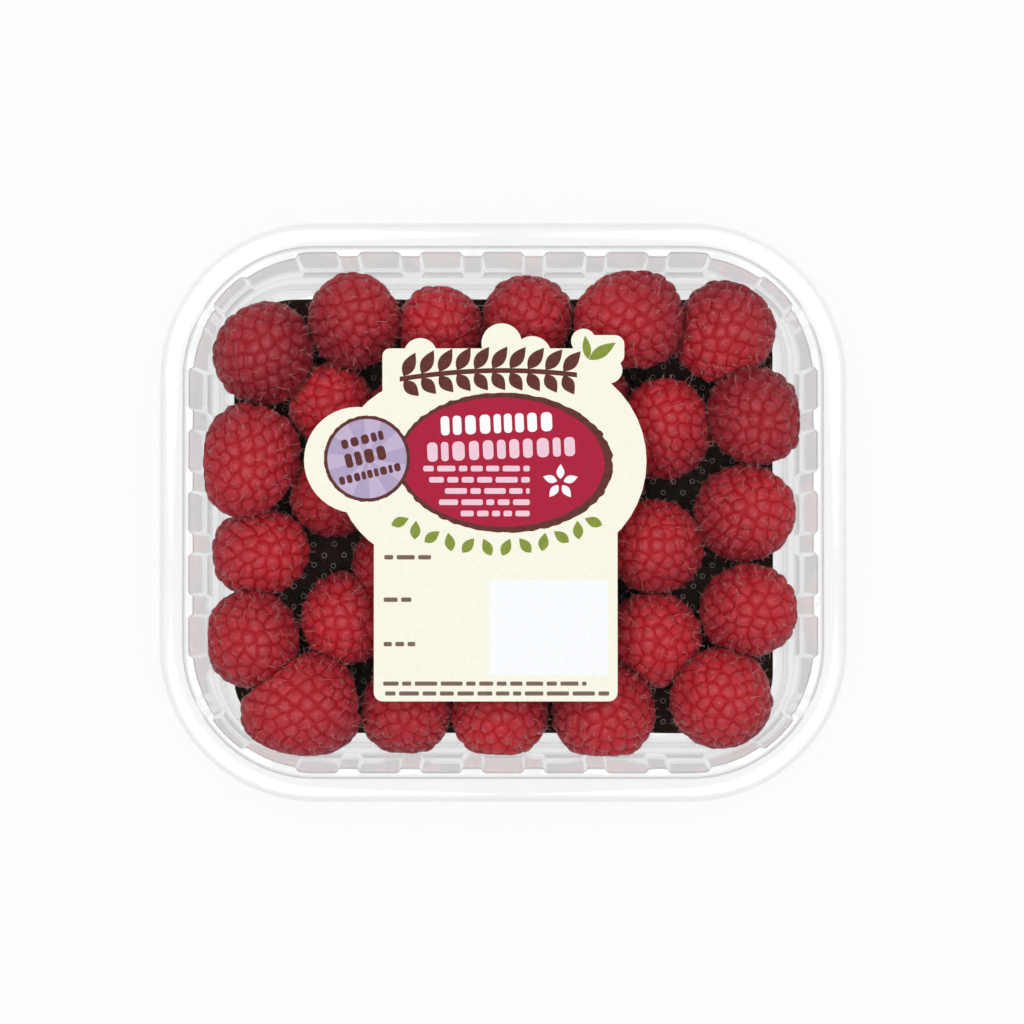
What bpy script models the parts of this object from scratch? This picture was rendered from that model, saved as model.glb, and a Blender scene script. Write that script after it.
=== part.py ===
"""A sealed punnet of raspberries, modelled in metres with +Z up.

A clear thermoformed tray stands on its flat base, centred on the origin. A thin
absorbent pad lines its floor, one loose layer of raspberries lies on the pad,
a clear lidding film is sealed across the rim, and a die-cut label lies on the film.
"""

import math

import bmesh
import bpy
from mathutils import Matrix, Vector

MM = 0.001
GAP = 0.3 * MM  # between pieces that rest on each other
SEAL_GAP = 0.2 * MM  # between the thin sheets stacked on the rim
WALL_CLEARANCE = 0.8 * MM  # between the berries and the wall

# Tray outlines, from the rim down: half width along X, half depth along Y, corner radius
RIM = (70.0 * MM, 59.0 * MM, 32.0 * MM)
FLANGE_EDGE = (64.9 * MM, 53.9 * MM, 26.9 * MM)
WALL_TOP = (62.9 * MM, 51.9 * MM, 24.9 * MM)
WALL_FOOT = (59.7 * MM, 48.6 * MM, 16.5 * MM)
FLOOR_EDGE = (57.4 * MM, 46.3 * MM, 13.0 * MM)
TRAY_HEIGHT = 36.0 * MM
SHEET = 0.5 * MM
LIP_DROP = 3.0 * MM
LIP_ROUND = 1.2 * MM
STEP_DROP = 1.7 * MM  # from the flange down to the narrow ledge inside it
FOOT_HEIGHT = 2.3 * MM  # of the rounding between the wall and the floor

# Pockets: the shallow upright channels pressed outwards all round the wall
POCKET_DEPTH = 0.8 * MM
POCKET_HALF = 3.3 * MM
POCKET_RAMP = 0.8 * MM
POCKET_PITCH = 12.6 * MM
POCKETS_EACH_WAY = {"short": 2, "long": 3}  # on either side of the middle one
CORNER_POCKET_AT = 19.6 * MM  # from the end of the short side, along the wall's top
NOTCH_AT = 12.4 * MM  # where the ledge is bridged, measured the same way
NOTCH_HALF = 1.5 * MM
NOTCH_RAMP = 0.4 * MM
CORNER_STEPS = 8
CLOSEST_STATIONS = 0.3 * MM

# Absorbent pad
PAD = (57.0 * MM, 45.9 * MM, 12.4 * MM)
PAD_THICKNESS = 1.2 * MM

# Lidding film and label
FILM_THICKNESS = 0.15 * MM
FILM_EDGE = 0.3 * MM  # how far the film stops short of the rim
LABEL_THICKNESS = 0.2 * MM

# Raspberries: centre x, y, z, diameter, length (mm), then where the tip points:
# its heading from +X towards +Y, and how far it leans up from level (degrees)
RASPBERRIES = (
    (-49.6, 33.8, 16.0, 19.8, 20.6, 60, 35),
    (-31.0, 40.6, 17.0, 18.2, 20.6, 90, 64),
    (-13.3, 39.0, 12.4, 16.8, 18.6, 130, 70),
    (5.0, 41.0, 13.6, 17.6, 19.6, 160, 82),
    (26.0, 40.3, 18.4, 19.4, 22.2, 185, 14),
    (45.7, 38.0, 13.4, 19.4, 20.8, 220, 20),
    (-36.0, 23.0, 10.9, 16.6, 18.2, 100, 84),
    (-52.8, 10.9, 19.8, 19.3, 23.2, 255, 16),
    (-35.0, 4.8, 12.0, 17.6, 19.0, 20, 74),
    (-50.4, -7.8, 12.2, 17.5, 20.2, 10, 30),
    (-52.2, -26.1, 15.2, 19.2, 20.2, 310, 70),
    (-32.6, -21.7, 12.2, 18.5, 19.8, 222, 80),
    (-41.9, -40.0, 15.0, 21.2, 24.4, 190, 8),
    (-20.2, -40.4, 12.8, 18.0, 20.0, 70, 72),
    (-0.6, -41.0, 13.4, 19.0, 21.0, 15, 76),
    (20.6, -41.0, 14.8, 20.0, 21.8, 175, 76),
    (45.3, -38.4, 14.4, 20.1, 20.6, 285, 85),
    (51.5, -20.0, 13.6, 18.5, 20.4, 5, 55),
    (31.2, -25.9, 11.8, 18.9, 19.6, 160, 84),
    (31.6, -6.7, 13.2, 18.8, 19.8, 180, 86),
    (50.6, 0.4, 13.4, 19.5, 20.8, 5, 52),
    (52.4, 20.0, 16.8, 18.7, 20.8, 300, 50),
    (33.6, 18.3, 12.6, 18.6, 21.0, 96, 52),
    (16.8, 24.8, 11.6, 17.8, 19.4, 300, 75),
    (-21.8, -10.8, 12.2, 18.6, 19.8, 140, 78),
    (-18.8, 20.6, 12.2, 18.0, 19.6, 200, 80),
    (-1.0, 22.2, 12.4, 18.4, 20.0, 45, 72),
    (-15.6, 4.6, 12.2, 18.4, 19.8, 330, 80),
    (2.4, 4.4, 12.6, 18.8, 20.6, 90, 85),
    (20.2, 6.8, 12.2, 17.8, 19.8, 10, 76),
    (-3.2, -13.0, 12.4, 19.0, 20.2, 250, 74),
    (14.6, -10.2, 12.2, 18.4, 19.8, 120, 80),
    (-11.4, -26.2, 12.2, 18.6, 19.8, 30, 82),
    (10.4, -26.2, 12.4, 19.0, 20.0, 210, 70),
)
BERRY_SIDES = 10
BERRY_BANDS = 7
BERRY_SWELL = 1.11  # so that neighbouring berries press into one heap

# Label outline: overlapping rounds (centre x, y, radius) and blocks (centre x, y, half sizes, corner), mm
LABEL_BODY = (8.2, 10.3, 20.9)
LABEL_ROUNDS = {
    "side lobe": (-29.6, 10.5, 10.8),
    "shoulder": (-15.1, 8.4, 18.7),
    "first scallop": (-16.8, 31.9, 3.4),
    "tall scallop": (-0.3, 34.2, 4.1),
    "low scallop": (5.9, 31.8, 3.9),
    "small scallop": (16.3, 34.7, 2.5),
    "side scallop": (21.5, 28.8, 2.7),
}
LABEL_BLOCKS = {
    "banner": (-1.5, 26.6, 23.0, 6.6, 1.5),
    "banner end": (19.6, 32.9, 5.0, 3.0, 1.9),
    "panel": (-1.5, -19.2, 24.7, 19.2, 1.8),
}
ROUND_SIDES = 44


def clear_scene():
    for obj in list(bpy.data.objects):
        bpy.data.objects.remove(obj, do_unlink=True)


def collection_named(name):
    made = bpy.data.collections.new(name)
    bpy.context.scene.collection.children.link(made)
    return made


def material(name, colour, roughness, alpha=1.0):
    made = bpy.data.materials.new(name)
    made.use_nodes = True
    shader = made.node_tree.nodes["Principled BSDF"]
    shader.inputs["Base Color"].default_value = (*colour, 1.0)
    shader.inputs["Roughness"].default_value = roughness
    shader.inputs["Metallic"].default_value = 0.0
    shader.inputs["Alpha"].default_value = alpha
    return made


def object_from(bm, name, collection, look=None):
    bmesh.ops.recalc_face_normals(bm, faces=bm.faces)
    mesh = bpy.data.meshes.new(name)
    bm.to_mesh(mesh)
    bm.free()
    obj = bpy.data.objects.new(name, mesh)
    collection.objects.link(obj)
    if look:
        mesh.materials.append(look)
    return obj


# ---------------------------------------------------------------- tray outlines


def beyond(outline, x, y):
    """How far a point lies outside a rounded rectangle; negative within it."""
    half_x, half_y, corner = outline
    dx = abs(x) - (half_x - corner)
    dy = abs(y) - (half_y - corner)
    if dx > 0 and dy > 0:
        return math.hypot(dx, dy) - corner
    return max(dx, dy) - corner


def between(low, high, fraction):
    return tuple(a + (b - a) * fraction for a, b in zip(low, high))


def straight_length(quarter):
    """The straight run of a side: +X and -X sides are short, +Y and -Y sides are long."""
    half_x, half_y, corner = WALL_TOP
    half = half_y if quarter % 2 == 0 else half_x
    return 2 * (half - corner)


def arc_length():
    return math.pi / 2 * WALL_TOP[2]


def side_starts():
    """Where each side's straight run starts along the wall's top, and the whole lap."""
    starts, total = [], 0.0
    for quarter in range(4):
        starts.append(total)
        total += straight_length(quarter) + arc_length()
    return starts, total


def wall_top_point(along):
    """(point, outward direction) at this distance along the wall's top, anticlockwise."""
    half_x, half_y, corner = WALL_TOP
    for quarter in range(4):
        turn = quarter * math.pi / 2
        outward = Vector((math.cos(turn), math.sin(turn), 0))
        forward = Vector((-math.sin(turn), math.cos(turn), 0))
        reach = half_x if quarter % 2 == 0 else half_y
        straight = straight_length(quarter)
        if along <= straight:
            return outward * reach + forward * (along - straight / 2), outward
        along -= straight
        if along <= arc_length():
            centre = outward * (reach - corner) + forward * (straight / 2)
            turn += along / corner
            outward = Vector((math.cos(turn), math.sin(turn), 0))
            return centre + outward * corner, outward
        along -= arc_length()
    return wall_top_point(0.0)


def pocket_centres():
    starts, _ = side_starts()
    centres = []
    for quarter, start in enumerate(starts):
        each_way = POCKETS_EACH_WAY["short" if quarter % 2 == 0 else "long"]
        middle = start + straight_length(quarter) / 2
        centres += [middle + k * POCKET_PITCH for k in range(-each_way, each_way + 1)]
    return centres + past_short_sides(CORNER_POCKET_AT)


def past_short_sides(distance):
    """The four places this far past either end of the two short sides."""
    starts, _ = side_starts()
    places = []
    for quarter in (0, 2):
        start = starts[quarter]
        places += [start - distance, start + straight_length(quarter) + distance]
    return places


def around(along, centre):
    """Signed distance from a centre, the short way round the lap."""
    _, lap = side_starts()
    return (along - centre + lap / 2) % lap - lap / 2


def window(along, centres, half, ramp):
    """1 within half of a centre, falling to 0 over the ramp beyond it."""
    nearest = min(abs(around(along, centre)) for centre in centres)
    return min(1.0, max(0.0, (half + ramp - nearest) / ramp))


def wall_stations():
    """Distances along the wall's top where the tray has a cross-section."""
    starts, lap = side_starts()
    features = [(c, POCKET_HALF, POCKET_RAMP) for c in pocket_centres()]
    features += [(c, NOTCH_HALF, NOTCH_RAMP) for c in past_short_sides(NOTCH_AT)]
    wanted = []
    for centre, half, ramp in features:
        wanted += [centre - half - ramp, centre - half, centre + half, centre + half + ramp]
    sharp = len(wanted)
    for quarter, start in enumerate(starts):
        arc_start = start + straight_length(quarter)
        wanted += [arc_start + arc_length() * k / CORNER_STEPS for k in range(CORNER_STEPS + 1)]
    kept = []
    for index, along in enumerate(wanted):
        clearance = CLOSEST_STATIONS if index < sharp else 4 * CLOSEST_STATIONS
        if all(abs(around(along, other)) > clearance for other in kept):
            kept.append(along % lap)
    return sorted(kept)


def on_outline(point, outward, outline, offset=0.0):
    """Where a line along outward through point meets the outline, moved out by offset."""
    low, high = -20 * MM, 20 * MM
    for _ in range(40):
        middle = (low + high) / 2
        place = point + outward * middle
        if beyond(outline, place.x, place.y) < offset:
            low = middle
        else:
            high = middle
    return point + outward * high


def cross_section(along):
    """The tray's upper skin at one station, from the lip's lower edge to the floor."""
    point, outward = wall_top_point(along)
    pocket = POCKET_DEPTH * window(along, pocket_centres(), POCKET_HALF, POCKET_RAMP)
    notch = window(along, past_short_sides(NOTCH_AT), NOTCH_HALF, NOTCH_RAMP)
    ledge_top = TRAY_HEIGHT - STEP_DROP * (1 - 0.85 * notch)
    shoulder = LIP_ROUND * (1 - math.sqrt(0.5))
    foot_middle = between(FLOOR_EDGE, WALL_FOOT, 0.7)
    steps = (
        (RIM, 0.0, TRAY_HEIGHT - LIP_DROP),
        (RIM, 0.0, TRAY_HEIGHT - LIP_ROUND),
        (RIM, -shoulder, TRAY_HEIGHT - shoulder),
        (RIM, -LIP_ROUND, TRAY_HEIGHT),
        (FLANGE_EDGE, 0.0, TRAY_HEIGHT),
        (FLANGE_EDGE, -0.2 * MM, ledge_top),
        (WALL_TOP, pocket, ledge_top - 0.1 * MM),
        (WALL_FOOT, pocket, SHEET + FOOT_HEIGHT),
        (foot_middle, 0.0, SHEET + 0.3 * FOOT_HEIGHT),
        (FLOOR_EDGE, 0.0, SHEET),
    )
    return [on_outline(point, outward, ring, out) + Vector((0, 0, z)) for ring, out, z in steps]


def kept_inside(place):
    """A berry's surface point, moved in from the wall and up off the pad where it must be."""
    top = TRAY_HEIGHT - STEP_DROP
    foot = SHEET + FOOT_HEIGHT
    up = max(0.0, (place.z - foot) / (top - foot))
    wall = between(WALL_FOOT, WALL_TOP, up)
    for _ in range(3):
        excess = beyond(wall, place.x, place.y) + WALL_CLEARANCE
        if excess > 0:
            step = 0.01 * MM
            slope_x = beyond(wall, place.x + step, place.y) - beyond(wall, place.x - step, place.y)
            slope_y = beyond(wall, place.x, place.y + step) - beyond(wall, place.x, place.y - step)
            slope = Vector((slope_x, slope_y, 0)).normalized()
            place = place - slope * excess
    pad_top = SHEET + 2 * GAP + PAD_THICKNESS
    return Vector((place.x, place.y, max(place.z, pad_top)))


# ---------------------------------------------------------------- tray


def make_tray(collection, look):
    """The upper skin as rings of points from the lip to the floor, thickened downwards."""
    columns = [cross_section(along) for along in wall_stations()]
    bm = bmesh.new()
    rings = [[bm.verts.new(place) for place in ring] for ring in zip(*columns)]
    count = len(columns)
    for upper, lower in zip(rings, rings[1:]):
        for i in range(count):
            j = (i + 1) % count
            bm.faces.new((upper[i], upper[j], lower[j], lower[i]))
    floor = bm.faces.new(rings[-1])
    bm.normal_update()
    if floor.normal.z < 0:
        bmesh.ops.reverse_faces(bm, faces=bm.faces)
    mesh = bpy.data.meshes.new("tray")
    bm.to_mesh(mesh)
    bm.free()
    mesh.materials.append(look)
    tray = bpy.data.objects.new("tray", mesh)
    collection.objects.link(tray)
    shell = tray.modifiers.new("sheet", "SOLIDIFY")
    shell.thickness = SHEET
    shell.offset = -1.0
    shell.use_even_offset = True
    shell.use_rim = True
    return tray


# ---------------------------------------------------------------- solid pieces


def rounded_plate(name, centre, half, corner, low, high, collection, segments=8, look=None):
    bm = bmesh.new()
    bmesh.ops.create_cube(bm, size=1.0)
    size = (2 * half[0], 2 * half[1], high - low)
    place = Matrix.Translation((centre[0], centre[1], (low + high) / 2))
    bmesh.ops.transform(bm, matrix=place @ Matrix.Diagonal((*size, 1.0)), verts=bm.verts)
    upright = [e for e in bm.edges if abs(e.verts[0].co.z - e.verts[1].co.z) > (high - low) / 2]
    bmesh.ops.bevel(bm, geom=upright, offset=corner, segments=segments, affect="EDGES", profile=0.5)
    return object_from(bm, name, collection, look)


def round_plate(name, place, low, high, collection, look=None):
    x, y, radius = (size * MM for size in place)
    bm = bmesh.new()
    bmesh.ops.create_cone(
        bm, cap_ends=True, segments=ROUND_SIDES, radius1=radius, radius2=radius, depth=high - low
    )
    bmesh.ops.translate(bm, vec=(x, y, (low + high) / 2), verts=bm.verts)
    return object_from(bm, name, collection, look)


def join_all(base, others):
    """A Boolean union of base with every object in the collection of others."""
    union = base.modifiers.new("join", "BOOLEAN")
    union.operation = "UNION"
    union.operand_type = "COLLECTION"
    union.collection = others
    union.solver = "EXACT"
    for obj in others.objects:
        obj.hide_render = True
        obj.display_type = "WIRE"


def make_film(collection, look):
    low = TRAY_HEIGHT + SEAL_GAP
    half_x, half_y, corner = (size - FILM_EDGE for size in RIM)
    high = low + FILM_THICKNESS
    return rounded_plate("film", (0, 0), (half_x, half_y), corner, low, high, collection, 12, look)


def make_pad(collection, look):
    low = SHEET + GAP
    half_x, half_y, corner = PAD
    high = low + PAD_THICKNESS
    return rounded_plate("pad", (0, 0), (half_x, half_y), corner, low, high, collection, 8, look)


def make_label(collection, look):
    """The die-cut label: a round body with a side lobe, a panel below and a scalloped crest."""
    low = TRAY_HEIGHT + 2 * SEAL_GAP + FILM_THICKNESS
    high = low + LABEL_THICKNESS
    shapes = collection_named("label shapes")
    body = round_plate("label", LABEL_BODY, low, high, collection, look)
    for name, place in LABEL_ROUNDS.items():
        round_plate(name, place, low, high, shapes)
    for name, place in LABEL_BLOCKS.items():
        x, y, half_x, half_y, corner = (size * MM for size in place)
        rounded_plate(name, (x, y), (half_x, half_y), corner, low, high, shapes, 5)
    join_all(body, shapes)
    return body


def make_raspberry(name, place, collection, look=None):
    """One berry as a plain closed egg, broad behind its tip."""
    x, y, z, diameter, length, heading, lean = place
    bm = bmesh.new()
    bmesh.ops.create_uvsphere(bm, u_segments=BERRY_SIDES, v_segments=BERRY_BANDS, radius=1)
    for vert in bm.verts:
        narrowing = 1.0 - 0.1 * vert.co.z
        vert.co = Vector((vert.co.x * narrowing, vert.co.y * narrowing, vert.co.z))
    radius = diameter / 2 * MM * BERRY_SWELL
    size = Matrix.Diagonal((radius, radius, length / 2 * MM * BERRY_SWELL, 1.0))
    tilt = Matrix.Rotation(math.radians(90 - lean), 4, "Y")
    turn = Matrix.Rotation(math.radians(heading), 4, "Z")
    move = Matrix.Translation((x * MM, y * MM, z * MM))
    bmesh.ops.transform(bm, matrix=move @ turn @ tilt @ size, verts=bm.verts)
    for vert in bm.verts:
        vert.co = kept_inside(vert.co)
    return object_from(bm, name, collection, look)


def make_raspberries(collection, look):
    members = collection_named("single berries")
    heap = make_raspberry("raspberries", RASPBERRIES[0], collection, look)
    for number, place in enumerate(RASPBERRIES[1:], 2):
        make_raspberry(f"berry {number}", place, members)
    join_all(heap, members)
    return heap


def main():
    clear_scene()
    punnet = collection_named("raspberry punnet")
    clear_sheet = material("clear_sheet", (0.86, 0.89, 0.90), 0.08, 0.3)
    make_tray(punnet, clear_sheet)
    make_pad(punnet, material("black_pad", (0.018, 0.014, 0.012), 0.5))
    make_raspberries(punnet, material("raspberry_skin", (0.36, 0.012, 0.022), 0.4))
    make_film(punnet, material("clear_film", (0.92, 0.94, 0.95), 0.05, 0.2))
    make_label(punnet, material("label_paper", (0.93, 0.90, 0.78), 0.55))


main()
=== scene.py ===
"""The looks of a sealed punnet of raspberries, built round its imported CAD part.

Everything is in metres in the part's own frame: the tray stands at the origin on z = 0,
with +X to the right of the upright label and +Y towards its top.
"""

import math
import random

import bmesh
import bpy
import numpy as np
from mathutils import Matrix, Vector, noise


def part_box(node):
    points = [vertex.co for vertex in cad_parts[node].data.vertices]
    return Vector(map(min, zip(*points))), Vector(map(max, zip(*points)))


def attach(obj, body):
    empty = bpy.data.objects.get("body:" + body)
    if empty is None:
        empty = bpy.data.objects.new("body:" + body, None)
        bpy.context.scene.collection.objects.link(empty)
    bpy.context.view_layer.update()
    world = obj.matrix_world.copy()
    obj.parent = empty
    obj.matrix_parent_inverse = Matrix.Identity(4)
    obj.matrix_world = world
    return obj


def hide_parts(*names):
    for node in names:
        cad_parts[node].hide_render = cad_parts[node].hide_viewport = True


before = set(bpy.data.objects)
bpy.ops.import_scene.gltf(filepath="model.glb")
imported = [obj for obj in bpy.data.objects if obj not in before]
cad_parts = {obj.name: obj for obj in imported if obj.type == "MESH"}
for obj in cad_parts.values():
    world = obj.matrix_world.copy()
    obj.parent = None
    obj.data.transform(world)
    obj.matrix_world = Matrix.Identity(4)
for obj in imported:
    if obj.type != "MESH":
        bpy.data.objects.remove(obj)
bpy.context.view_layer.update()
MM = 0.001

# Heights, read from the part
RIM_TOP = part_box("tray")[1].z
PAD_LOW, PAD_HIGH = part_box("pad")
LABEL_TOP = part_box("label")[1].z

# Tray outlines: half width, half depth, corner radius
RIM = (70.0 * MM, 59.0 * MM, 32.0 * MM)
FLANGE_EDGE = (64.9 * MM, 53.9 * MM, 26.9 * MM)
WALL_TOP = (62.9 * MM, 51.9 * MM, 24.9 * MM)
WALL_FOOT = (59.7 * MM, 48.6 * MM, 16.5 * MM)
FLOOR_EDGE = (57.4 * MM, 46.3 * MM, 13.0 * MM)
SHEET = 0.3 * MM
FLOOR_TOP = 0.5 * MM
LIP_DROP = 3.0 * MM
STEP_DROP = 1.7 * MM
FOOT_HEIGHT = 2.3 * MM
POCKET_DEPTH = 0.85 * MM
POCKET_HALF = 3.6 * MM
POCKET_RAMP = 1.0 * MM
POCKET_PITCH = 12.6 * MM
POCKET_END = 11.5 * MM  # height above the table at which the pockets stop
CORNER_POCKET_AT = 19.6 * MM
NOTCH_AT = 12.4 * MM
NOTCH_HALF = 1.6 * MM
NOTCH_RAMP = 0.6 * MM
BEND_STEPS = 4  # in each rounded bend of the sheet

# Pad: corner radius, and the pitch and size of the rings on its skin
PAD_CORNER = 12.4 * MM
RING_PITCH = (4.2 * MM, 2.2 * MM)
RING_RADIUS = 0.48 * MM
RING_TUBE = 0.13 * MM

# Raspberries: x, y, z, diameter, length (mm), heading and lean of the tip (degrees), tone
RASPBERRIES = (
    (-49.6, 33.8, 16.0, 19.8, 20.6, 60, 35, 0.12),
    (-31.0, 40.6, 17.0, 18.2, 20.6, 90, 64, 0.28),
    (-13.3, 39.0, 12.4, 16.8, 18.6, 130, 70, 0.60),
    (5.0, 41.0, 13.6, 17.6, 19.6, 160, 82, 0.50),
    (26.0, 40.3, 18.4, 19.4, 22.2, 185, 14, 0.50),
    (45.7, 38.0, 13.4, 19.4, 20.8, 220, 20, 0.45),
    (-36.0, 23.0, 10.9, 16.6, 18.2, 100, 84, 0.95),
    (-52.8, 10.9, 19.8, 19.3, 23.2, 255, 16, 0.50),
    (-35.0, 4.8, 12.0, 17.6, 19.0, 20, 74, 0.55),
    (-50.4, -7.8, 12.2, 17.5, 20.2, 10, 30, 0.60),
    (-52.2, -26.1, 15.2, 19.2, 20.2, 310, 70, 0.40),
    (-32.6, -21.7, 12.2, 18.5, 19.8, 222, 80, 0.66),
    (-41.9, -40.0, 15.0, 21.2, 24.4, 190, 8, 0.50),
    (-20.2, -40.4, 12.8, 18.0, 20.0, 70, 72, 0.50),
    (-0.6, -41.0, 13.4, 19.0, 21.0, 15, 76, 0.60),
    (20.6, -41.0, 14.8, 20.0, 21.8, 175, 76, 0.55),
    (45.3, -38.4, 14.4, 20.1, 20.6, 285, 85, 0.65),
    (51.5, -20.0, 13.6, 18.5, 20.4, 5, 55, 0.55),
    (31.2, -25.9, 11.8, 18.9, 19.6, 160, 84, 0.70),
    (31.6, -6.7, 13.2, 18.8, 19.8, 180, 86, 0.60),
    (50.6, 0.4, 13.4, 19.5, 20.8, 5, 52, 0.50),
    (52.4, 20.0, 16.8, 18.7, 20.8, 300, 50, 0.20),
    (33.6, 18.3, 12.6, 18.6, 21.0, 96, 52, 0.65),
    (16.8, 24.8, 11.6, 17.8, 19.4, 300, 75, 0.35),
    (-21.8, -10.8, 12.2, 18.6, 19.8, 140, 78, 0.50),
    (-18.8, 20.6, 12.2, 18.0, 19.6, 200, 80, 0.55),
    (-1.0, 22.2, 12.4, 18.4, 20.0, 45, 72, 0.45),
    (-15.6, 4.6, 12.2, 18.4, 19.8, 330, 80, 0.60),
    (2.4, 4.4, 12.6, 18.8, 20.6, 90, 85, 0.50),
    (20.2, 6.8, 12.2, 17.8, 19.8, 10, 76, 0.55),
    (-3.2, -13.0, 12.4, 19.0, 20.2, 250, 74, 0.45),
    (14.6, -10.2, 12.2, 18.4, 19.8, 120, 80, 0.60),
    (-11.4, -26.2, 12.2, 18.6, 19.8, 30, 82, 0.50),
    (10.4, -26.2, 12.4, 19.0, 20.0, 210, 70, 0.55),
)
DRUPELET_SPACING = 3.1  # mm, between the middles of neighbouring drupelets
EDGE_STEPS = 3  # along each side of a drupelet
DOME_STEPS = (0.92, 0.76, 0.45)  # rings of a drupelet within its crease, as shares of its reach
GOLDEN_ANGLE = 2.39996323  # radians from one drupelet to the next
PACKING = 0.87  # area of a drupelet, as a share of its spacing squared
HOLLOW_FROM = 0.80  # share of the way from tip to stem at which the berry's hollow starts
RIM_SHARE = 0.86  # share of a half turn at which the hollow's rim lies on the outer shape
BLUNTNESS = 0.88
TAPER = 0.10
WALL_GAP = 0.3  # mm, between a berry and the wall's inner skin
HAIR_POINTS = 4
HAIR_FLOOR = 11.5  # mm, below which hairs are left out
UNDER_LABEL = ((-20, 19), (-34, 23))  # mm, x and y ranges that the label hides
HAIRS = ((1.8, 3.4, 0.05), (1.0, 2.2, 0.046), (0.8, 1.8, 0.044))  # shortest, longest and radius, mm

# Light: the share of the floor's whiteness that shadows leave alone, and the levels of sky and lamps
FLOOR_GLOW = 0.8
AMBIENT = 0.25
LAMP_POWER = 3.9
LAMP_REACH = 0.4
LAMP_HEIGHT = 1.4
LAMP_SIZE = 0.4
CAMERA_DISTANCE = 0.9
CAMERA_LEAN = math.radians(1.4)
CAMERA_SIDE = 0.0018
CAMERA_LENS = 155.9


# ---------------------------------------------------------------- helpers


def rgb(red, green, blue):
    """A linear colour from the usual 0 to 255 values."""

    def linear(value):
        value /= 255
        return value / 12.92 if value <= 0.04045 else ((value + 0.055) / 1.055) ** 2.4

    return (linear(red), linear(green), linear(blue), 1.0)


def piece(name, verts, faces, look, smooth=True, riding=True):
    mesh = bpy.data.meshes.new(name)
    mesh.from_pydata([tuple(v) for v in verts], [], faces)
    mesh.polygons.foreach_set("use_smooth", [smooth] * len(mesh.polygons))
    mesh.update()
    mesh.materials.append(look)
    obj = bpy.data.objects.new(name, mesh)
    bpy.context.scene.collection.objects.link(obj)
    if riding:
        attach(obj, "root")
    return obj


def point_values(obj, name, values):
    layer = obj.data.attributes.new(name, "FLOAT", "POINT")
    layer.data.foreach_set("value", np.asarray(values, np.float32))


class Look:
    """A node material with short ways to add and join nodes."""

    def __init__(self, name):
        self.material = bpy.data.materials.new(name)
        self.material.use_nodes = True
        self.tree = self.material.node_tree
        self.shader = self.tree.nodes["Principled BSDF"]
        self.output = self.tree.nodes["Material Output"]

    def add(self, kind, inputs=None, **settings):
        node = self.tree.nodes.new(kind)
        for key, value in settings.items():
            setattr(node, key, value)
        for key, value in (inputs or {}).items():
            if isinstance(value, bpy.types.NodeSocket):
                self.tree.links.new(value, node.inputs[key])
            else:
                node.inputs[key].default_value = value
        return node

    def set(self, **values):
        for key, value in values.items():
            socket = self.shader.inputs[key.replace("_", " ")]
            if isinstance(value, bpy.types.NodeSocket):
                self.tree.links.new(value, socket)
            else:
                socket.default_value = value

    def mix(self, factor, first, second):
        node = self.add("ShaderNodeMix", data_type="RGBA")
        for index, value in ((0, factor), (6, first), (7, second)):
            if isinstance(value, bpy.types.NodeSocket):
                self.tree.links.new(value, node.inputs[index])
            else:
                node.inputs[index].default_value = value
        return node.outputs[2]

    def ramp(self, value, low, high, from_low=0.0, from_high=1.0):
        node = self.add("ShaderNodeMapRange", {0: value, 1: from_low, 2: from_high, 3: low, 4: high})
        return node.outputs[0]

    def place(self):
        return self.add("ShaderNodeTexCoord").outputs["Object"]

    def noise(self, scale, detail=3.0):
        found = {"Vector": self.place(), "Scale": scale, "Detail": detail}
        return self.add("ShaderNodeTexNoise", found).outputs[0]

    def attribute(self, name):
        return self.add("ShaderNodeAttribute", attribute_name=name).outputs["Fac"]

    def bump(self, height, strength, distance):
        return self.add(
            "ShaderNodeBump", {"Height": height, "Strength": strength, "Distance": distance}
        ).outputs[0]


# ---------------------------------------------------------------- materials


def clear_plastic(name, tint, edge, gloss_share, bends):
    """Thin clear sheet: it shows what is behind it, shines by angle, and has painted shade that greys it
    where it bends.
    """
    look = Look(name)
    look.tree.nodes.remove(look.shader)
    facing = look.add("ShaderNodeLayerWeight", {"Blend": 0.5}).outputs["Facing"]
    haze = look.ramp(look.noise(55.0, 2.0), 0.0, 0.3, 0.4, 0.75)
    clear = look.mix(look.ramp(facing, 0.0, 1.0, 0.3, 1.0), tint, edge)
    clear = look.mix(haze, clear, edge)
    if bends:
        # Painted shade: grey mixed into what the sheet lets through, along its bends.
        clear = look.mix(look.attribute("bend"), clear, (0.52, 0.53, 0.545, 1))
    see = look.add("ShaderNodeBsdfTransparent", {"Color": clear})
    shine = look.add("ShaderNodeBsdfGlossy", {"Color": (1, 1, 1, 1), "Roughness": 0.05})
    fresnel = look.add("ShaderNodeFresnel", {"IOR": 1.5}).outputs[0]
    share = look.add("ShaderNodeMath", {0: fresnel, 1: gloss_share}, operation="MULTIPLY").outputs[0]
    both = look.add("ShaderNodeMixShader", {0: share, 1: see.outputs[0], 2: shine.outputs[0]})
    look.tree.links.new(both.outputs[0], look.output.inputs["Surface"])
    return look.material


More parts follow.
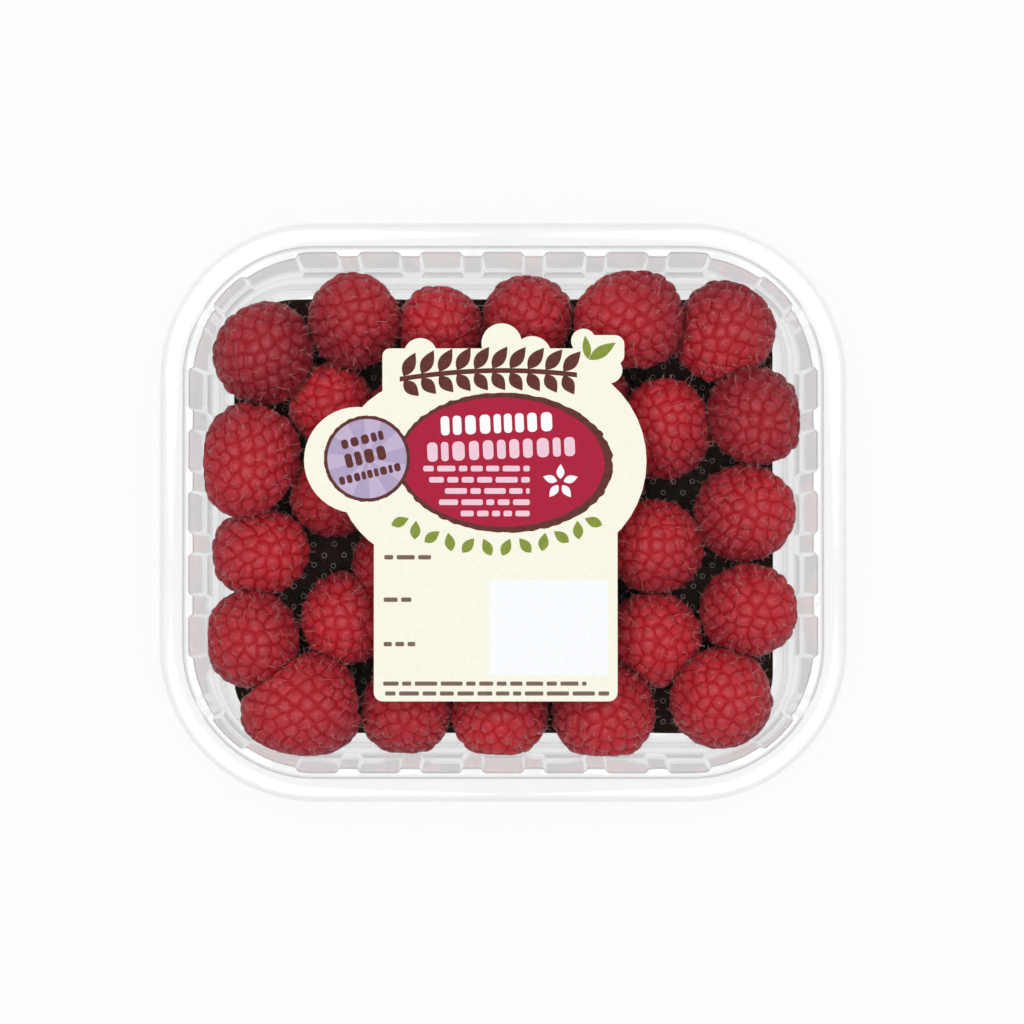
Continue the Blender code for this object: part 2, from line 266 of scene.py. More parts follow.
def berry_look():
    """Raspberry skin: deep red creases, drupelets with pale tops that are partly bloom and partly painted
    highlight, some berries riper than others, and painted light and shade that makes each berry lighter on
    top and darker round its sides.
    """
    look = Look("raspberry_skin")
    dome = look.attribute("dome")
    tone = look.attribute("tone")
    # Painted light and shade: the per-vertex value read here is the berry's tone, raised where the berry
    # faces up and lowered round its sides, so skin and creases turn lighter on top and darker below.
    tone_and_painted_shade = look.attribute("tone_and_painted_shade")
    skin = look.mix(tone_and_painted_shade, rgb(122, 12, 28), rgb(198, 30, 42))
    skin = look.mix(look.ramp(tone, 0.0, 0.3), skin, rgb(176, 50, 62))
    crease = look.mix(tone_and_painted_shade, rgb(130, 4, 18), rgb(184, 10, 26))
    body = look.mix(look.ramp(dome, 0.0, 1.0, 0.02, 0.4), crease, skin)
    # Pale pink on each drupelet's top: partly bloom, partly a painted highlight.
    bloom_and_painted_highlight = look.ramp(look.noise(420.0, 4.0), 0.1, 0.42, 0.4, 0.7)
    bloom_and_painted_highlight = look.add("ShaderNodeMath", {0: bloom_and_painted_highlight, 1: dome}, operation="MULTIPLY").outputs[0]
    body = look.mix(bloom_and_painted_highlight, body, rgb(184, 86, 96))
    hollow = look.attribute("hollow")
    body = look.mix(hollow, body, rgb(222, 120, 116))
    rough = look.ramp(look.noise(900.0, 2.0), 0.34, 0.52)
    grain = look.bump(look.noise(2600.0, 3.0), 0.2, 0.0001)
    look.set(
        Base_Color=body,
        Roughness=rough,
        Normal=grain,
        Subsurface_Weight=0.25,
        Subsurface_Radius=(0.0022, 0.0006, 0.0005),
        Subsurface_Scale=1.0,
        Specular_IOR_Level=0.2,
        Sheen_Weight=0.03,
        Sheen_Roughness=0.45,
        Sheen_Tint=rgb(240, 190, 196),
    )
    return look.material


def hair_look():
    look = Look("raspberry_hair")
    along = look.attribute("along")
    colour = look.mix(along, rgb(206, 100, 100), rgb(244, 206, 190))
    look.set(Base_Color=colour, Roughness=0.5, Specular_IOR_Level=0.3)
    return look.material


def pad_look():
    """A dark absorbent pad under a perforated skin."""
    look = Look("black_pad")
    shade = look.mix(look.noise(160.0, 4.0), rgb(20, 11, 7), rgb(42, 28, 20))
    grain = look.bump(look.noise(1400.0, 3.0), 0.2, 0.0002)
    look.set(Base_Color=shade, Roughness=0.6, Normal=grain, Specular_IOR_Level=0.03)
    return look.material


def ring_look():
    look = Look("pad_rings")
    shade = look.mix(look.noise(900.0), rgb(112, 104, 98), rgb(150, 142, 136))
    look.set(Base_Color=shade, Roughness=0.45)
    return look.material


def paper_look(name, colour, fleck):
    """Smooth printed paper, with a trace of fibre in its colour and surface."""
    look = Look(name)
    shade = look.mix(look.ramp(look.noise(900.0, 5.0), 0.0, 1.0, 0.35, 0.75), colour, fleck)
    grain = look.bump(look.noise(3000.0, 3.0), 0.15, 0.00005)
    look.set(Base_Color=shade, Roughness=0.5, Normal=grain, Specular_IOR_Level=0.08)
    return look.material


# ---------------------------------------------------------------- tray


def beyond(outline, x, y):
    """How far a point lies outside a rounded rectangle; negative within it."""
    half_x, half_y, corner = outline
    dx = abs(x) - (half_x - corner)
    dy = abs(y) - (half_y - corner)
    if dx > 0 and dy > 0:
        return math.hypot(dx, dy) - corner
    return max(dx, dy) - corner


def between(low, high, share):
    return tuple(a + (b - a) * share for a, b in zip(low, high))


def straight_length(quarter):
    half_x, half_y, corner = WALL_TOP
    return 2 * ((half_y if quarter % 2 == 0 else half_x) - corner)


ARC = math.pi / 2 * WALL_TOP[2]
STARTS = [sum(straight_length(q) + ARC for q in range(k)) for k in range(5)]
LAP = STARTS[4]


def wall_top_point(along):
    """(point, outward direction) at this distance along the wall's top, anticlockwise."""
    half_x, half_y, corner = WALL_TOP
    along %= LAP
    quarter = max(q for q in range(4) if STARTS[q] <= along)
    along -= STARTS[quarter]
    turn = quarter * math.pi / 2
    straight = straight_length(quarter)
    outward = Vector((math.cos(turn), math.sin(turn), 0))
    forward = Vector((-math.sin(turn), math.cos(turn), 0))
    reach = half_x if quarter % 2 == 0 else half_y
    if along <= straight:
        return outward * reach + forward * (along - straight / 2), outward
    centre = outward * (reach - corner) + forward * (straight / 2)
    turn += (along - straight) / corner
    outward = Vector((math.cos(turn), math.sin(turn), 0))
    return centre + outward * corner, outward


def past_short_sides(distance):
    places = []
    for quarter in (0, 2):
        places += [STARTS[quarter] - distance, STARTS[quarter] + straight_length(quarter) + distance]
    return places


def pocket_centres():
    centres = past_short_sides(CORNER_POCKET_AT)
    for quarter in range(4):
        middle = STARTS[quarter] + straight_length(quarter) / 2
        each_way = 2 if quarter % 2 == 0 else 3
        centres += [middle + k * POCKET_PITCH for k in range(-each_way, each_way + 1)]
    return centres


def around(along, centre):
    return (along - centre + LAP / 2) % LAP - LAP / 2


def window(along, centres, half, ramp):
    """1 near a centre and 0 away from it, with an S-shaped slope between."""
    nearest = min(abs(around(along, centre)) for centre in centres)
    t = min(1.0, max(0.0, (half + ramp - nearest) / ramp))
    return t * t * (3 - 2 * t)


POCKETS = pocket_centres()
NOTCHES = past_short_sides(NOTCH_AT)


def wall_stations():
    """Distances along the wall's top: evenly spaced, and closer together where the sheet bends."""
    wanted = [LAP * k / 300 for k in range(300)]
    for centres, half, ramp in ((POCKETS, POCKET_HALF, POCKET_RAMP), (NOTCHES, NOTCH_HALF, NOTCH_RAMP)):
        for centre in centres:
            for side in (-1, 1):
                wanted += [centre + side * (half + ramp * k / 6) for k in range(7)]
    wanted = sorted(w % LAP for w in wanted)
    kept = [wanted[0]]
    for along in wanted[1:]:
        if along - kept[-1] > 0.12 * MM:
            kept.append(along)
    return kept


def on_outline(point, outward, outline, offset=0.0):
    """How far along outward from point the outline lies, once moved out by offset."""
    low, high = -20 * MM, 20 * MM
    for _ in range(26):
        middle = (low + high) / 2
        if beyond(outline, point.x + outward.x * middle, point.y + outward.y * middle) < offset:
            low = middle
        else:
            high = middle
    return high


def rounded(points, radii, lines):
    """A run of (out, up) points with each inner corner replaced by a small curve, and how dark the painted
    shade along each curve is.
    """
    made, bends = [points[0]], [0.0]
    for before, here, after, radius, line in zip(points, points[1:], points[2:], radii, lines):
        a, b, c = (np.array(p) for p in (before, here, after))
        to_a, to_c = a - b, c - b
        length_a, length_c = np.linalg.norm(to_a), np.linalg.norm(to_c)
        reach = min(radius, 0.48 * length_a, 0.48 * length_c)
        start, end = b + to_a / length_a * reach, b + to_c / length_c * reach
        for k in range(BEND_STEPS + 1):
            t = k / BEND_STEPS
            made.append(tuple((1 - t) ** 2 * start + 2 * t * (1 - t) * b + t * t * end))
            bends.append(math.sin(math.pi * t) ** 2 * line)
    made.append(points[-1])
    return made, bends + [0.0]


def up_the_wall(height):
    """The plain wall's outline at this height."""
    foot, top = FLOOR_TOP + FOOT_HEIGHT, RIM_TOP - STEP_DROP
    return between(WALL_FOOT, WALL_TOP, (height - foot) / (top - foot))


def tray_section(along):
    """(out, up) points of the upper skin at one station, from the lip to the floor."""
    point, outward = wall_top_point(along)
    pocket = POCKET_DEPTH * window(along, POCKETS, POCKET_HALF, POCKET_RAMP)
    notch = window(along, NOTCHES, NOTCH_HALF, NOTCH_RAMP)
    ledge = RIM_TOP - STEP_DROP * (1 - 0.9 * notch)
    # Each corner: outline, offset, height, bend radius, and how dark the painted shade along its bend is.
    corners = (
        (RIM, 0.0, RIM_TOP - LIP_DROP, 0, 0),
        (RIM, -0.2 * MM, RIM_TOP, 1.6 * MM, 0.12),
        (FLANGE_EDGE, 0.0, RIM_TOP, 0.25 * MM, 0.5),
        (FLANGE_EDGE, -0.25 * MM, ledge, 0.3 * MM, 0.12),
        (WALL_TOP, pocket, ledge - 0.15 * MM, 0.3 * MM, 0.9),
        (up_the_wall(POCKET_END), pocket, POCKET_END, 0.7 * MM, 0.3),
        (up_the_wall(POCKET_END - 1.4 * MM), 0.15 * pocket, POCKET_END - 1.4 * MM, 0.7 * MM, 0.1),
        (WALL_FOOT, 0.0, FLOOR_TOP + FOOT_HEIGHT, 1.4 * MM, 0.15),
        (between(FLOOR_EDGE, WALL_FOOT, 0.45), 0.0, FLOOR_TOP + 0.12 * FOOT_HEIGHT, 1.0 * MM, 0.05),
        (FLOOR_EDGE, -0.8 * MM, FLOOR_TOP, 0, 0),
    )
    flat = [(on_outline(point, outward, ring, out), z) for ring, out, z, *_ in corners]
    inner = corners[1:-1]
    curve, bends = rounded(flat, [corner[3] for corner in inner], [corner[4] for corner in inner])
    return [point + outward * out + Vector((0, 0, z)) for out, z in curve], bends


def make_tray(look):
    stations = wall_stations()
    sections = [tray_section(along) for along in stations]
    columns = [section[0] for section in sections]
    count, rows = len(columns), len(columns[0])
    verts = [place for column in columns for place in column]
    faces = []
    for i in range(count):
        j = (i + 1) % count
        for k in range(rows - 1):
            faces.append((i * rows + k, j * rows + k, j * rows + k + 1, i * rows + k + 1))
    faces.append([i * rows + rows - 1 for i in range(count)])
    tray = piece("tray_shell", verts, faces, look)
    tray.data.polygons[len(faces) - 1].use_smooth = False
    # Painted shade along the sheet's bends, which its material reads.
    point_values(tray, "bend", [bend for section in sections for bend in section[1]])
    shell = tray.modifiers.new("sheet", "SOLIDIFY")
    shell.thickness = SHEET
    shell.offset = -1.0
    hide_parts("tray")


# ---------------------------------------------------------------- pad


def rounded_outline(half_x, half_y, corner, steps, straight_steps):
    points = []
    for quarter in range(4):
        sign_x = 1 if quarter in (0, 3) else -1
        sign_y = 1 if quarter in (0, 1) else -1
        for k in range(steps + 1):
            turn = (quarter + k / steps) * math.pi / 2
            x = sign_x * (half_x - corner) + corner * math.cos(turn)
            y = sign_y * (half_y - corner) + corner * math.sin(turn)
            points.append(Vector((x, y)))
    full = []
    for a, b in zip(points, points[1:] + points[:1]):
        parts = straight_steps if (b - a).length > 8 * MM else 1
        full += [a.lerp(b, k / parts) for k in range(parts)]
    return full


def make_pad(look):
    half_x, half_y = PAD_HIGH.x, PAD_HIGH.y
    thick = PAD_HIGH.z - PAD_LOW.z
    outline = rounded_outline(half_x, half_y, PAD_CORNER, 12, 24)
    rings = []
    section = ((0.5, 0.0), (0.12, 0.18), (0.0, 0.5), (0.1, 0.8), (0.45, 0.96), (1.0, 1.0), (2.5, 0.9))
    for inset, up in section:
        shrink_x = 1 - inset * MM / half_x
        shrink_y = 1 - inset * MM / half_y
        ring = []
        for p in outline:
            wave = 0.25 * MM * noise.noise((p.x * 90, p.y * 90, 2.0))
            out = 1 + (wave - 0.25 * MM) / half_x
            ring.append(Vector((p.x * shrink_x * out, p.y * shrink_y * out, PAD_LOW.z + thick * up)))
        rings.append(ring)
    count = len(outline)
    verts = [p for ring in rings for p in ring]
    faces = []
    for r in range(len(rings) - 1):
        for i in range(count):
            j = (i + 1) % count
            faces.append((r * count + i, r * count + j, (r + 1) * count + j, (r + 1) * count + i))
    faces.append(list(range(count))[::-1])
    faces.append([(len(rings) - 1) * count + i for i in range(count)])
    pad = piece("absorbent_pad", verts, faces, look)
    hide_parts("pad")


def make_pad_rings(look):
    """Small pale rings in staggered rows all over the pad's skin."""
    verts, faces = [], []
    rng = random.Random(5)
    top = PAD_HIGH.z - 0.1 * (PAD_HIGH.z - PAD_LOW.z)
    around_steps, tube_steps = 12, 3
    row, y = 0, -43.4 * MM
    while y < 43.5 * MM:
        x = -54.6 * MM + (2.1 * MM if row % 2 else 0.0)
        while x < 54.7 * MM:
            if beyond((PAD_HIGH.x, PAD_HIGH.y, PAD_CORNER), x, y) < -2.0 * MM:
                first = len(verts)
                cx, cy = x + rng.uniform(-0.12, 0.12) * MM, y + rng.uniform(-0.12, 0.12) * MM
                for a in range(around_steps):
                    turn = 2 * math.pi * a / around_steps
                    for out, up in ((1, -0.6), (0, 1), (-1, -0.6)):
                        reach = RING_RADIUS + out * RING_TUBE
                        dx, dy = reach * math.cos(turn), reach * math.sin(turn)
                        verts.append((cx + dx, cy + dy, top + up * RING_TUBE))
                for a in range(around_steps):
                    b = (a + 1) % around_steps
                    for k in range(tube_steps):
                        m = (k + 1) % tube_steps
                        low = first + a * tube_steps
                        high = first + b * tube_steps
                        faces.append((low + k, high + k, high + m, low + m))
            x += RING_PITCH[0]
        y += RING_PITCH[1]
        row += 1
    piece("pad_rings", verts, faces, look)


# ---------------------------------------------------------------- raspberries


def outer_profile(angle, diameter, length):
    """(radius, height) of a berry's outer shape, which tapers to the tip."""
    radius = math.sin(angle) ** BLUNTNESS * diameter / 2
    return radius * (1.0 - TAPER * math.cos(angle)), math.cos(angle) * length / 2


def profile(turn, diameter, length):
    """(radius, height) of a berry at this polar angle from its tip: a thimble, hollow at the stem."""
    share = turn / math.pi
    if share <= HOLLOW_FROM:
        return outer_profile(share / HOLLOW_FROM * RIM_SHARE * math.pi, diameter, length)
    inner = (share - HOLLOW_FROM) / (1 - HOLLOW_FROM)
    radius, height = outer_profile(RIM_SHARE * math.pi, diameter, length)
    return radius * math.cos(inner * math.pi / 2) ** 0.8, height + inner**1.4 * length * 0.34


def berry_seeds(diameter, length, rng):
    """Unit directions of the drupelets' middles: a golden-angle spiral, spread by surface area."""
    steps = 200
    area, table = 0.0, [0.0]
    previous = profile(0.0, diameter, length)
    for k in range(1, steps + 1):
        here = profile(math.pi * k / steps, diameter, length)
        slant = math.hypot(here[0] - previous[0], here[1] - previous[1])
        area += math.pi * (here[0] + previous[0]) * slant
        table.append(area)
        previous = here
    count = int(area / (DRUPELET_SPACING**2 * PACKING))
    seeds, start = [], rng.uniform(0, 6.28)
    for n in range(count):
        wanted = area * (n + 0.5) / count
        k = int(np.searchsorted(table, wanted))
        turn = math.pi * (k - 1 + (wanted - table[k - 1]) / (table[k] - table[k - 1])) / steps
        spin = start + n * GOLDEN_ANGLE
        radius = max(0.15 * diameter, profile(turn, diameter, length)[0])
        turn += rng.uniform(-0.7, 0.7) / (0.62 * length)
        spin += rng.uniform(-0.7, 0.7) / radius
        turn = min(max(turn, 0.02), math.pi - 0.02)
        flat = math.sin(turn)
        seeds.append(Vector((flat * math.cos(spin), flat * math.sin(spin), math.cos(turn))))
    return seeds


def cells_on_sphere(seeds):
    """Each seed's Voronoi corners in order, as indices into a list of corner directions."""
    bm = bmesh.new()
    for seed in seeds:
        bm.verts.new(seed)
    bm.verts.ensure_lookup_table()
    bm.verts.index_update()
    bmesh.ops.convex_hull(bm, input=bm.verts, use_existing_faces=False)
    bmesh.ops.triangulate(bm, faces=bm.faces)
    bm.faces.index_update()
    corners = []
    for face in bm.faces:
        a, b, c = (v.co for v in face.verts)
        normal = (b - a).cross(c - a).normalized()
        corners.append(normal if normal.dot(a) > 0 else -normal)
    cells = []
    for vert in bm.verts:
        if not vert.link_faces:
            cells.append([])
            continue
        axis = vert.co.normalized()
        side = axis.orthogonal().normalized()
        other = axis.cross(side)
        order = sorted(
            (math.atan2(corners[f.index].dot(other), corners[f.index].dot(side)), f.index)
            for f in vert.link_faces
        )
        cells.append([index for _, index in order])
    bm.free()
    return cells, corners


def make_berry(number, place):
    """One berry's vertices, faces, per-vertex values and hair roots, in millimetres."""
    x, y, z, diameter, length, heading, lean, tone = place
    rng = random.Random(100 + number)
    seeds = berry_seeds(diameter, length, rng)
    cells, corners = cells_on_sphere(seeds)
    verts, faces, dome, drupelet_tone, hollow, hairs = [], [], [], [], [], []
    wobble = rng.uniform(0, 50)

    def on_berry(direction):
        """(place, hollow) of a direction on the bare profile, a little uneven."""
        turn = math.acos(max(-1.0, min(1.0, direction.z)))
        spin = math.atan2(direction.y, direction.x)
        radius, height = profile(turn, diameter, length)
        uneven = 1 + 0.035 * noise.noise((direction.x * 1.6 + wobble, direction.y * 1.6, direction.z * 1.6))
        inside = max(0.0, min(1.0, (turn / math.pi - 0.78) / 0.08))
        here = Vector((radius * math.cos(spin) * uneven, radius * math.sin(spin) * uneven, height))
        return here, inside

    shared = {}

    def crease_point(direction, depth):
        key = tuple(round(c, 5) for c in direction)
        if key not in shared:
            here, inside = on_berry(direction)
            inward = (here - Vector((0, 0, here.z * 0.45))).normalized()
            shared[key] = len(verts)
            verts.append(here - inward * depth * (1 - inside))
            dome.append(0.0)
            drupelet_tone.append(0.4)
            hollow.append(inside)
        return shared[key]

    for seed, cell in zip(seeds, cells):
        if len(cell) < 3:
            continue
        centre, inside = on_berry(seed)
        ring_directions, ring = [], []
        for a, b in zip(cell, cell[1:] + cell[:1]):
            first, second = (a, b) if a < b else (b, a)
            for k in range(EDGE_STEPS):
                share = k / EDGE_STEPS if a < b else 1 - k / EDGE_STEPS
                direction = corners[first].lerp(corners[second], share).normalized()
                corner_depth = 0.08 * abs(2 * share - 1) ** 2
                ring_directions.append(direction)
                ring.append(crease_point(direction, 0.03 + corner_depth))
        bounds = [verts[i] for i in ring]
        radius = sum((p - centre).length for p in bounds) / len(bounds)
        around_middle = sum(bounds, Vector()) / len(bounds)
        normal = Vector()
        for p, q in zip(bounds, bounds[1:] + bounds[:1]):
            normal += (p - centre).cross(q - centre)
        normal.normalize()
        rise = radius * rng.uniform(0.28, 0.38) * (1 - 0.85 * inside)
        own_tone = min(1.0, max(0.0, rng.gauss(tone, 0.2)))
        lean_side = Vector((rng.uniform(-1, 1), rng.uniform(-1, 1), rng.uniform(-1, 1))) * 0.10 * radius
        reaches = [(p - around_middle).length for p in bounds]
        round_reach = sum(reaches) / len(reaches)
        previous = ring
        for step in DOME_STEPS:
            height = (1 - step**2.8) ** 0.62
            roundness = min(1.0, 2.4 * (1 - step) + 0.12)
            current = []
            for p, reach in zip(bounds, reaches):
                share = step * (1 + (round_reach / reach - 1) * roundness)
                flat = around_middle.lerp(p, min(share, 0.95))
                curve = (around_middle - centre) * (1 - step**2)
                here = flat - curve + normal * rise * height + lean_side * (1 - step**2) * (1 - inside)
                current.append(len(verts))
                verts.append(here)
                dome.append(min(1.0, (1 - step) * 1.6))
                drupelet_tone.append(own_tone)
                hollow.append(inside)
            for i in range(len(current)):
                j = (i + 1) % len(current)
                faces.append((previous[i], previous[j], current[j], current[i]))
            previous = current
        top = len(verts)
        verts.append(centre + normal * rise + lean_side * (1 - inside))
        dome.append(1.0)
        drupelet_tone.append(own_tone)
        hollow.append(inside)
        for i in range(len(previous)):
            faces.append((previous[i], previous[(i + 1) % len(previous)], top))
        if inside < 0.3:
            hairs.append((verts[top].copy(), normal.copy()))

    tilt = Matrix.Rotation(math.radians(90 - lean), 3, "Y")
    spin = Matrix.Rotation(math.radians(heading), 3, "Z")
    roll = Matrix.Rotation(rng.uniform(0, 6.28), 3, "Z")
    turn = spin @ tilt @ roll
    move = Vector((x, y, z))
    # Painted light and shade: each vertex's value is the berry's tone, raised where the surface faces
    # light_side, near straight up, and lowered on the sides and underside.
    light_side = Vector((rng.uniform(-0.45, 0.45), rng.uniform(-0.45, 0.45), 1)).normalized()
    tone_and_painted_shade = []
    for vert in verts:
        facing = (turn @ vert).normalized().dot(light_side)
        tone_and_painted_shade.append(min(1.0, max(0.0, tone + 0.7 * (facing - 0.6))))
    verts = [turn @ v + move for v in verts]
    hairs = [(turn @ p + move, turn @ n) for p, n in hairs]
    values = {"dome": dome, "tone": drupelet_tone, "hollow": hollow, "tone_and_painted_shade": tone_and_painted_shade}
    return verts, faces, values, hairs


def wall_clearance(points):
    """Each point moved in from the wall and up off the pad, in millimetres."""
    out = points.copy()
    top, foot = (RIM_TOP - STEP_DROP) / MM, (FLOOR_TOP + FOOT_HEIGHT) / MM
    low, high = np.array(WALL_FOOT) / MM, np.array(WALL_TOP) / MM
    share = np.clip((out[:, 2] - foot) / (top - foot), 0, 1)[:, None]
    outline = low + (high - low) * share
    core = outline[:, :2] - outline[:, 2:3]
    side = np.sign(out[:, :2])
    over = np.abs(out[:, :2]) - core
    both = (over > 0).all(1)
    reach = np.where(both, np.hypot(over[:, 0], over[:, 1]), over.max(1))
    excess = np.maximum(reach - outline[:, 2] + WALL_GAP, 0)
    direction = np.zeros_like(over)
    direction[both] = over[both] / reach[both][:, None]
    wider_x = over[:, 0] > over[:, 1]
    direction[~both & wider_x, 0] = 1
    direction[~both & ~wider_x, 1] = 1
    out[:, :2] -= side * direction * excess[:, None]
    pad_top = PAD_HIGH.z / MM
    shallow = pad_top + 0.02 + 0.12 * np.maximum(out[:, 2] - pad_top + 1.0, 0)
    out[:, 2] = np.where(out[:, 2] < pad_top + 0.15, np.maximum(shallow, pad_top), out[:, 2])
    return out


def radius_towards(place, direction):
    """A berry's rough half size along a direction."""
    _, _, _, diameter, length, heading, lean, _ = place
    h, t = math.radians(heading), math.radians(lean)
    axis = Vector((math.cos(h) * math.cos(t), math.sin(h) * math.cos(t), math.sin(t)))
    along = axis.dot(direction)
    return 1 / math.sqrt((along / (length / 2)) ** 2 + (1 - along**2) / (diameter / 2) ** 2)


def pressed_by_neighbours(points, number):
    """Where two berries would overlap, the lower one is flattened, or both if they lie level."""
    place = RASPBERRIES[number]
    centre = Vector(place[:3])
    for other_number, other in enumerate(RASPBERRIES):
        apart = Vector(other[:3]) - centre
        if other_number == number or apart.length > 27:
            continue
        direction = apart.normalized()
        own, theirs = radius_towards(place, direction), radius_towards(other, direction)
        overlap = own + theirs + 0.7 - apart.length
        if overlap <= 0:
            continue
        yields = 0.5 + 0.5 * max(-1.0, min(1.0, (other[2] - place[2]) / 0.8))
        limit = own + 0.45 - overlap * yields
        axis = np.array(direction)
        distance = (points - np.array(centre)) @ axis
        excess = np.maximum(distance - (limit - 0.4), 0)
        eased = np.where(excess > 0, 0.4 * (1 - np.exp(-excess / 0.4)), 0)
        points = points - np.outer(excess - eased, axis)
    return points


def curly_hair(root, normal, size, rng):
    """Points of one fine hair, in millimetres: it leaves the drupelet and bends over."""
    shortest, longest, _ = size
    length = rng.uniform(shortest, longest) * (1.0 if normal.z > 0.45 else 0.55)
    side = Vector((rng.uniform(-1, 1), rng.uniform(-1, 1), rng.uniform(-1, 1))).normalized()
    bend = side.cross(normal).normalized()
    heading = (normal + bend * rng.uniform(-0.6, 0.6)).normalized()
    here, points = root + side.cross(bend) * rng.uniform(0, 0.8) - normal * 0.25, []
    twist = rng.uniform(0.2, 0.6) * rng.choice((-1, 1))
    for k in range(HAIR_POINTS):
        points.append(here.copy())
        here = here + heading * length / (HAIR_POINTS - 1)
        heading = (heading + bend * twist + Vector((0, 0, -0.03))).normalized()
        twist *= rng.uniform(0.8, 1.25)
    return points


def under_label(point):
    (left, right), (front, back) = UNDER_LABEL
    return left < point.x < right and front < point.y < back


def make_hairs(roots, look):
    """Three fine hairs on each drupelet that can be seen, one of them long."""
    verts, faces, along = [], [], []
    rng = random.Random(77)
    for root, normal in roots:
        if normal.z < -0.2 or root.z < HAIR_FLOOR or under_label(root):
            continue
        for size in HAIRS:
            points = curly_hair(root, normal, size, rng)
            pts = wall_clearance(np.array([tuple(p) for p in points]))
            pts[:, 2] = np.clip(pts[:, 2], 7, RIM_TOP / MM - 0.3)
            first = len(verts)
            for k, p in enumerate(pts):
                ahead = pts[min(k + 1, len(pts) - 1)] - pts[max(k - 1, 0)]
                ahead = Vector(ahead).normalized()
                side = ahead.orthogonal().normalized()
                other = ahead.cross(side)
                thick = size[2] * (1.15 - 0.8 * k / (HAIR_POINTS - 1))
                for a in range(3):
                    turn = 2 * math.pi * a / 3
                    verts.append(Vector(p) + (side * math.cos(turn) + other * math.sin(turn)) * thick)
                    along.append(k / (HAIR_POINTS - 1))
            for k in range(HAIR_POINTS - 1):
                for a in range(3):
                    b = (a + 1) % 3
                    low, high = first + 3 * k, first + 3 * (k + 1)
                    faces.append((low + a, low + b, high + b, high + a))
            faces.append((first + 2, first + 1, first))
    obj = piece("raspberry_hairs", [v * MM for v in verts], faces, look)
    point_values(obj, "along", along)


def make_raspberries(look, hairs_look):
    """Every berry, joined into a few pieces from the back of the tray to the front."""
    order = sorted(range(len(RASPBERRIES)), key=lambda n: -RASPBERRIES[n][1])
    groups = [order[9 * k : 9 * k + 9] for k in range(4)]
    roots = []
    for group_number, group in enumerate(groups, 1):
        verts, faces, values = [], [], {"dome": [], "tone": [], "hollow": [], "tone_and_painted_shade": []}
        for number in group:
            berry_verts, berry_faces, berry_values, hairs = make_berry(number, RASPBERRIES[number])
            points = np.array([tuple(v) for v in berry_verts])
            points = pressed_by_neighbours(points, number)
            points = wall_clearance(points)
            first = len(verts)
            verts += [tuple(p * MM) for p in points]
            faces += [tuple(first + i for i in face) for face in berry_faces]
            for name, listed in berry_values.items():
                values[name] += listed
            roots += hairs
        obj = piece(f"raspberries_{group_number}", verts, faces, look)
        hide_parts("raspberries")
        for name, listed in values.items():
            point_values(obj, name, listed)
        triangles = sum(len(f) - 2 for f in faces)
        print(f"raspberries_{group_number}: {len(group)} berries, {triangles} triangles")
    make_hairs(roots, hairs_look)


# ---------------------------------------------------------------- label print


DISC = (-27.6, 10.8)  # the round badge's middle, mm
DISC_RADIUS = 8.05


def turned(cx, cy, x, y, tilt):
    """A point at (x, y) from a centre, once turned about it."""
    return (cx + x * math.cos(tilt) - y * math.sin(tilt), cy + x * math.sin(tilt) + y * math.cos(tilt))


def vine_height(x):
    """The printed vine's gentle arch over the oval, in millimetres."""
    return 28.7 - 0.004 * x * x


def ellipse(cx, cy, rx, ry, steps=96, tilt=0.0, rough=None):
    points = []
    for k in range(steps):
        turn = 2 * math.pi * k / steps
        out = 1 + (rough(turn) if rough else 0)
        x, y = rx * out * math.cos(turn), ry * out * math.sin(turn)
        points.append(turned(cx, cy, x, y, tilt))
    return points


def block(cx, cy, half_x, half_y, corner=0.0, tilt=0.0):
    points = []
    for quarter in range(4):
        sign_x = 1 if quarter in (0, 3) else -1
        sign_y = 1 if quarter in (0, 1) else -1
        for k in range(4 if corner else 1):
            turn = (quarter + k / 3) * math.pi / 2
            x = sign_x * (half_x - corner) + corner * math.cos(turn)
            y = sign_y * (half_y - corner) + corner * math.sin(turn)
            points.append(turned(cx, cy, x, y, tilt))
    return points


def printed(name, outlines, layer, look):
    """Flat print: each outline is filled, a hair above the label and in layers."""
    verts, faces = [], []
    z = LABEL_TOP + layer * 0.012 * MM
    for outline in outlines:
        first = len(verts)
        verts += [(x * MM, y * MM, z) for x, y in outline]
        faces.append(tuple(first + i for i in range(len(outline))))
    piece(name, verts, faces, look, smooth=False)


def brush_edge(seed, depth):
    """An uneven brushed edge: a share of the radius that changes round the outline."""
    rng = random.Random(seed)
    waves = [(rng.randint(5, 60), rng.uniform(0, 6.28), rng.uniform(0.2, 1.0)) for _ in range(12)]
    total = sum(w[2] for w in waves)

    def rough(turn):
        wave = sum(size * math.sin(count * turn + start) for count, start, size in waves)
        return depth * wave / total * 2

    return rough


def leaf(base, tip, half_width, steps=8):
    """A pointed leaf from its base to its tip."""
    along = (tip[0] - base[0], tip[1] - base[1])
    length = math.hypot(*along)
    across = (-along[1] / length, along[0] / length)
    sides = []
    for sign in (1, -1):
        side = []
        for k in range(steps):
            t = k / steps
            out = sign * half_width * math.sin(math.pi * t**0.85)
            x, y = (base[axis] + along[axis] * t + across[axis] * out for axis in (0, 1))
            side.append((x, y))
        sides.append(side)
    return sides[0] + [tip] + sides[1][:0:-1]


